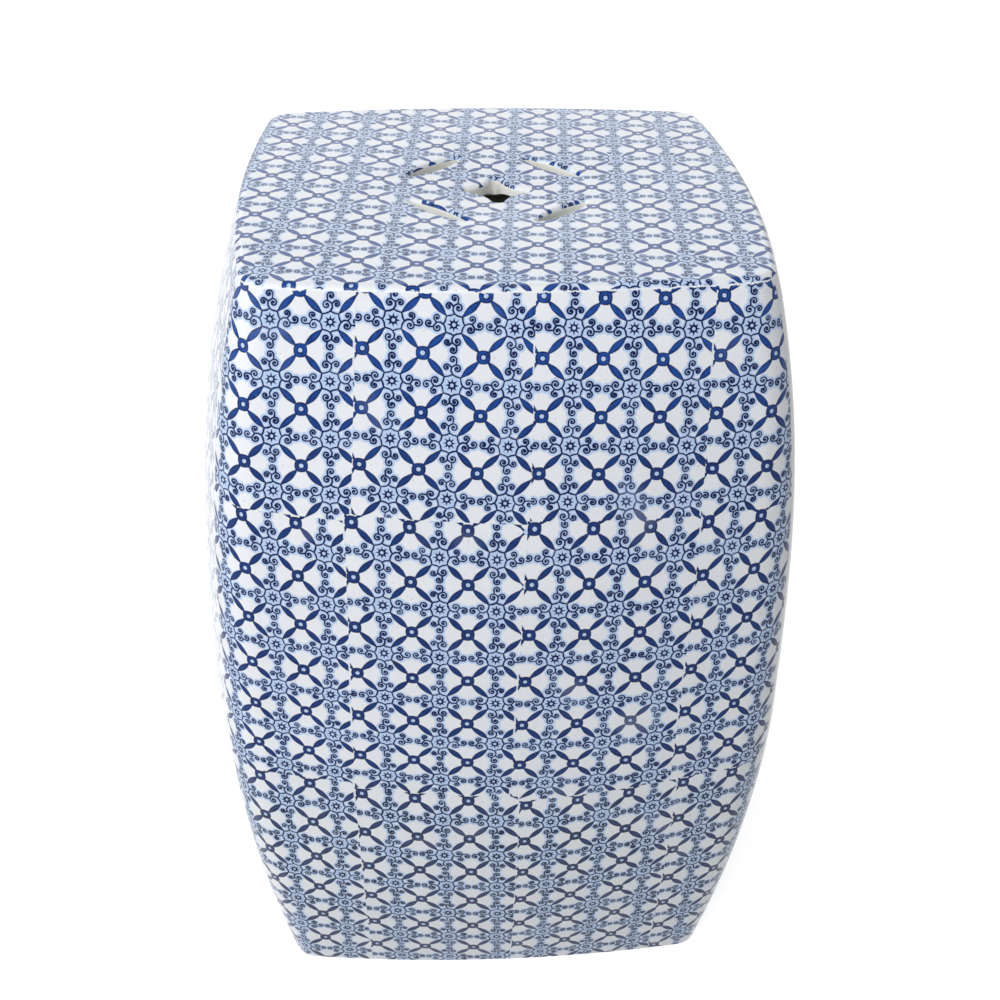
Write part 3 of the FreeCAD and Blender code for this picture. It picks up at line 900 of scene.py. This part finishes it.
def curl_distance(net, a, o, curl):
    """Distance to a stroke that winds inward from a radius, starting at an angle given in turns."""
    da, do = a - curl.centre[0], o - curl.centre[1]
    r = net.root(da * da + do * do)
    angle = net.math("ARCTAN2", do, da) * (curl.hand / (2 * pi)) - curl.start * curl.hand
    turned_by = net.math("FRACT", angle)
    pitch = curl.radius * CURL_PITCH
    inner = net.math("ROUND", (curl.radius - r) / pitch - turned_by)
    allowed = 1.0 - turned_by.over(CURL_TURNS - 1.0)
    inner = inner.most(0.0).least(allowed)
    away = abs(r - curl.radius + (inner + turned_by) * pitch)
    return away.least(r - CURL_EYE)


def stroke_distance(net, a, o, first, last):
    """Distance to a straight stroke."""
    (x0, y0), (x1, y1) = first, last
    dx, dy = x1 - x0, y1 - y0
    pa, po = a - x0, o - y0
    share = ((pa * dx + po * dy) / (dx * dx + dy * dy)).most(0.0).least(1.0)
    ex, ey = pa - share * dx, po - share * dy
    return net.root(ex * ex + ey * ey)


def motif_group():
    """The repeat as a node group: masks from a lattice place and the weight of the hand."""
    tree = bpy.data.node_groups.new("ScrollLattice", "ShaderNodeTree")
    for in_out, names in (("INPUT", ("Across", "Down", "Weight")),
                          ("OUTPUT", ("Line", "Leaf", "Ring", "Wash", "Grain"))):
        for name in names:
            tree.interface.new_socket(name, in_out=in_out, socket_type="NodeSocketFloat")
    net = Net(tree)
    entry = net.node("NodeGroupInput")
    u, v, weight = (Signal(net, entry.outputs[k]) for k in range(3))
    column, row = u.floor(), v.floor()
    x, y = u - column - 0.5, 0.5 - (v - row)
    ax, ay = abs(x), abs(y)
    # the tip curl leans left in two columns of three, and up in every other row
    third = net.math("FLOORED_MODULO", column + 2.0, 3.0)
    column_hand = net.math("COMPARE", third, 1.0, 0.1) * 2.0 - 1.0
    row_hand = net.math("FLOORED_MODULO", row, 2.0) * 2.0 - 1.0
    upright = (ay - ax).over(0.0)
    a = net.pick(upright, y * row_hand, x * column_hand)
    o = ax.most(ay)
    r = net.root(x * x + y * y)
    angle = net.math("ARCTAN2", y, x)

    # octagon with hollow sides, and the sprays
    lines = abs(r - OCTAGON_RADIUS + abs(net.math("SINE", angle * 4.0)) * OCTAGON_HOLLOW
                + net.math("COSINE", angle * 4.0) * OCTAGON_BULGE)
    for first, last in SPRAY_STROKES:
        lines = lines.least(stroke_distance(net, a, o, first, last))
    for curl in SPRAY_CURLS:
        lines = lines.least(curl_distance(net, a, o, curl))

    # eight-rayed star with a pale middle
    folded = abs(net.math("FRACT", angle * (4 / pi) + 0.5) - 0.5) * (pi / 4)
    ray = folded * r - (STAR_RADIUS - r) * STAR_RAY
    star = ray.most(r - STAR_RADIUS).least(r - STAR_HUB).most(STAR_EYE - r)
    line = net.ramp((lines - LINE_HALF_WIDTH).least(star) - weight, *LINE_SOFTNESS)

    # leaves on the diagonals and ring knots at the cell's corners
    along = (ax + ay) / sqrt(2)
    aside = abs(ax - ay) / sqrt(2)
    share = ((along - LEAF_START) / LEAF_LENGTH).most(0.0).least(1.0)
    belly = net.math("SINE", share * pi)
    half_width = belly * LEAF_BELLY + share * LEAF_TAPER + LEAF_TIP
    leaf = (aside - half_width).most(LEAF_CUT - along)
    kx, ky = 0.5 - ax, 0.5 - ay
    eye = net.root(kx * kx + ky * ky)
    ring = (kx ** RING_SQUARENESS + ky ** RING_SQUARENESS) ** (1 / RING_SQUARENESS) - RING_RADIUS
    ring = ring.most(RING_EYE - eye)
    leafy = net.ramp(leaf.most(RING_EYE - eye) - weight, *LEAF_SOFTNESS)
    ringed = net.ramp(ring - weight, *LEAF_SOFTNESS)

    # pale wash round the strokes, in the octagon, beside the leaves and in the ring's eye
    wash = net.ramp(lines - weight * 2.0, *WASH_REACH).most(net.ramp(r, *OCTAGON_WASH))
    wash = wash.most(net.ramp(leaf, LEAF_WASH_REACH, 0.0) * LEAF_WASH)
    wash = wash.most(1.0 - eye.over(RING_EYE_WASH))
    leave = net.node("NodeGroupOutput")
    for socket, value in zip(leave.inputs,
                             (line, leafy, ringed, wash, leaf.least(ring) * LEAF_GRAIN)):
        net.feed(socket, value)
    return tree


def new_material(name):
    material = bpy.data.materials.new(name)
    material.use_nodes = True
    return material, material.node_tree.nodes["Principled BSDF"], Net(material.node_tree)


def printed_glaze():
    """The decorated surface. Noise scales are in waves per metre, colours as seen on screen."""
    material, shader, net = new_material("decorated_glaze")
    place = net.place()
    along, down = net.uv("Print")
    seat_x, seat_y = net.uv("Seat")
    edge, true_down = net.uv("Edge")

    # the sheets stop short of the rim's crease, and the lattice sways a little
    rough_edge = net.noise(place, 420.0, 3.0) - 0.5
    sway_x = net.noise(place, 46.0, 1.0) - 0.5
    sway_y = net.noise(net.shift(place, (3.1, 1.7, 0.4)), 46.0, 1.0) - 0.5
    wall_u, wall_v, wall_gap, low_gap = wall_lattice(net, along, down, rough_edge * 0.03)
    seat_u, seat_v, seat_gap = seat_lattice(net, seat_x, seat_y)
    crease = 0.9 * MM
    cut = true_down + rough_edge * (2.4 * MM)
    on_wall = cut.over(crease)
    u = net.pick(on_wall, seat_u, wall_u) + sway_x * 0.05
    v = net.pick(on_wall, seat_v, wall_v) + sway_y * 0.05
    motif = net.node("ShaderNodeGroup", node_tree=motif_group())
    pressure = net.noise(place, 160.0, 3.0)
    for socket, value in zip(motif.inputs, (u, v, (pressure - 0.5) * 0.02)):
        net.feed(socket, value)
    line, leaf, ring, wash, grain = (Signal(net, out) for out in motif.outputs)

    # leaves are parted at a sheet's upright edge, and a ring there is on the next sheet only
    gap = net.pick(on_wall, seat_gap, wall_gap)
    row_noise = net.noise(net.vector((v + 0.5).floor(), on_wall, 0.0), 5.3, 0.0)
    parted = net.ramp(gap - net.ramp(row_noise, 0.45, 0.65) * 0.03, -0.004, 0.004)
    whole = net.pick(on_wall, gap, gap.least(low_gap)).over(0.2)

    # bare places: along the crease, at the end of a wall's sheet and above the floor
    kept = net.ramp(abs(cut - crease), 0.25 * MM, 0.55 * MM)
    sheet_end = edge + rough_edge * (2.2 * MM)
    kept = kept * net.pick(on_wall, 1.0, net.ramp(sheet_end, 0.9 * MM, 1.4 * MM))
    kept = kept * net.ramp(true_down + rough_edge * (1.5 * MM), 464.6 * MM, 464.0 * MM)
    # some places took less ink
    faded = net.ramp(net.noise(place, 26.0, 1.0), 0.60, 0.85) * 0.20
    strength = (1.0 - faded) * kept

    # ink: darker at the brush's edges; painted light makes it brighter near the rim and on the
    # seat, and painted floor reflection and painted shade make it greyer near the foot
    brush = net.noise(place, 300.0, 4.0, 0.6)
    tone = net.ramp(brush + grain.most(0.0).least(1.0) * 0.5, 0.50, 1.05)
    # painted reflection and painted shade: the ink turns greyer and darker towards the foot, in
    # place of the floor's reflection and the shade on the lower wall
    low = net.ramp(true_down, 250 * MM, 330 * MM)
    # painted light: the ink turns brighter near the rim and on the seat, where more light and the
    # seat's sheen fall
    painted_light_near_rim = net.ramp(true_down, 110 * MM, 20 * MM)
    light_leaf = net.blend(painted_light_near_rim, linear(10, 52, 120), linear(26, 74, 156))
    light_leaf = net.blend(low, light_leaf, linear(44, 62, 110))
    dark_leaf = net.blend(low, linear(0, 18, 72), linear(2, 18, 56))
    line_colour = net.blend(low, linear(0, 22, 80), linear(6, 20, 56))

    white = net.blend(net.noise(place, 22.0, 3.0), linear(228, 232, 239), linear(236, 238, 241))
    colour = net.blend(wash * (kept * 0.9), white, linear(178, 202, 238))
    colour = net.blend((leaf * parted).most(ring * whole) * strength, colour,
                       net.blend(tone, dark_leaf, light_leaf))
    colour = net.blend(line * strength, colour, line_colour)
    specks = net.ramp(net.noise(place, 900.0, 0.0), 0.80, 0.84) * 0.35
    colour = net.blend(specks, colour, linear(120, 112, 108))
    net.feed(shader.inputs["Base Color"], colour)
    shader.inputs["Roughness"].default_value = 0.14
    shader.inputs["IOR"].default_value = 1.25
    net.bump(shader, net.noise(place, 70.0, 2.0) + net.noise(place, 11.0, 1.0) * 2.0, 0.35)
    return material


def plain_glaze(name, pale, dark, roughness, grain):
    """An undecorated surface with clouds, specks and a grain of a given scale."""
    material, shader, net = new_material(name)
    place = net.place()
    colour = net.blend(net.ramp(net.noise(place, 35.0, 4.0), 0.3, 0.7), pale, dark)
    specks = net.ramp(net.noise(place, grain, 1.0), 0.70, 0.76) * 0.4
    colour = net.blend(specks, colour, linear(140, 126, 108))
    net.feed(shader.inputs["Base Color"], colour)
    shader.inputs["Roughness"].default_value = roughness
    net.bump(shader, net.noise(place, grain * 0.4, 4.0), 0.4)
    return material


# The pieces, which all ride on the one body

printed = printed_glaze()
plain = plain_glaze("inside_glaze", linear(243, 244, 240), linear(236, 236, 228), 0.30, 520.0)
biscuit = plain_glaze("biscuit", linear(226, 220, 208), linear(212, 204, 190), 0.85, 900.0)
materials = (printed, plain, biscuit)

for side in range(4):
    wall = build_wall(side, materials)
    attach(wall, "root")
    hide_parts(SIDES[side] + "_wall")
seat = build_seat(materials)
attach(seat, "root")
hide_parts("seat_slab")
foot = build_foot(materials)
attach(foot, "root")
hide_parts("foot_ring")

for name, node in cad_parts.items():
    if "strip" in name:
        node.data.materials.clear()
        node.data.materials.append(plain)

# Floor, world and lamps

FLOOR_REACH = 12.0
FLOOR_GREY, FLOOR_GLOW = 0.64, 0.76
WORLD_FILL = 0.24


def white_rays(net, names):
    """1 for the kinds of ray that see a white studio."""
    paths = net.node("ShaderNodeLightPath")
    seen = Signal(net, paths.outputs[names[0]])
    for name in names[1:]:
        seen = seen.most(Signal(net, paths.outputs[name]))
    return seen


floor_material, floor_shader, floor_net = new_material("floor")
glow = white_rays(floor_net, ("Is Camera Ray", "Is Glossy Ray")) * FLOOR_GLOW
for name, value in (("Base Color", (FLOOR_GREY, FLOOR_GREY, FLOOR_GREY, 1.0)), ("Roughness", 0.9),
                    ("Specular IOR Level", 0.0), ("Emission Color", WHITE_LIGHT),
                    ("Emission Strength", glow)):
    floor_net.feed(floor_shader.inputs[name], value)
floor_mesh = bpy.data.meshes.new("studio_floor")
floor_mesh.from_pydata([(sx * FLOOR_REACH, sy * FLOOR_REACH, 0.0)
                        for sx, sy in ((-1, -1), (1, -1), (1, 1), (-1, 1))], [], [(0, 1, 2, 3)])
floor_mesh.materials.append(floor_material)
floor = bpy.data.objects.new("studio_floor", floor_mesh)
bpy.context.scene.collection.objects.link(floor)

world = bpy.data.worlds.new("studio")
bpy.context.scene.world = world
world.use_nodes = True
world_net = Net(world.node_tree)
background = world.node_tree.nodes["Background"]
background.inputs["Color"].default_value = WHITE_LIGHT
seen = white_rays(world_net, ("Is Camera Ray", "Is Glossy Ray", "Is Transmission Ray"))
world_net.feed(background.inputs["Strength"], world_net.pick(seen, WORLD_FILL, 1.0))


def put(thing, axes, place):
    """Gives a lamp or camera an object with the given X, Y and Z axes, at a place."""
    holder = bpy.data.objects.new(thing.name, thing)
    rows = [[*row, p] for row, p in zip(np.array(axes).T, place)]
    holder.matrix_world = Matrix(rows + [[0, 0, 0, 1]])
    bpy.context.scene.collection.objects.link(holder)
    return holder


def softbox(name, place, target_height, size, power, colour=(1.0, 1.0, 1.0)):
    lamp = bpy.data.lights.new(name, "AREA")
    lamp.shape = "RECTANGLE"
    lamp.size, lamp.size_y = size
    lamp.energy, lamp.color = power, colour
    back = np.array(unit(np.array(place) - (0.0, 0.0, target_height)))
    right = np.array(unit(np.cross((0.0, 0.0, 1.0), back)))
    put(lamp, (right, np.cross(back, right), back), place)


softbox("key", (-0.72, -1.90, 2.46), 0.30, (1.6, 1.6), 51.0)
softbox("fill", (-2.47, -0.90, 1.53), 0.30, (1.6, 1.6), 31.0)
softbox("back", (0.0, 3.2, 1.7), 0.46, (3.0, 1.6), 19.0, (0.90, 0.95, 1.0))

# The photograph's view: focal length in pixels, distance from the point aimed at, which is across
# and up from the floor's middle, and angles

FRAME_PIXELS, SENSOR = 1000, 36.0
FOCAL, DISTANCE = 1609.6, 992.85 * MM
ELEVATION, YAW, ROLL = (radians(angle) for angle in (31.091, 3.893, 1.018))
AIM_ACROSS, AIM_HEIGHT = 5.08 * MM, 256.97 * MM

right = np.array([cos(YAW), -sin(YAW), 0.0])
level_ahead = np.array([sin(YAW), cos(YAW), 0.0])
upright = np.array([0.0, 0.0, 1.0])
ahead = level_ahead * cos(ELEVATION) - upright * sin(ELEVATION)
up = level_ahead * sin(ELEVATION) + upright * cos(ELEVATION)
aim = right * AIM_ACROSS + upright * AIM_HEIGHT
lens = bpy.data.cameras.new("camera")
lens.sensor_width = SENSOR
lens.lens = FOCAL * SENSOR / FRAME_PIXELS
lens.clip_start, lens.clip_end = 0.01, 100.0
camera_x = right * cos(ROLL) + up * sin(ROLL)
camera_y = up * cos(ROLL) - right * sin(ROLL)
bpy.context.scene.camera = put(lens, (camera_x, camera_y, -ahead), aim - ahead * DISTANCE)

bpy.context.scene.view_settings.view_transform = "Standard"
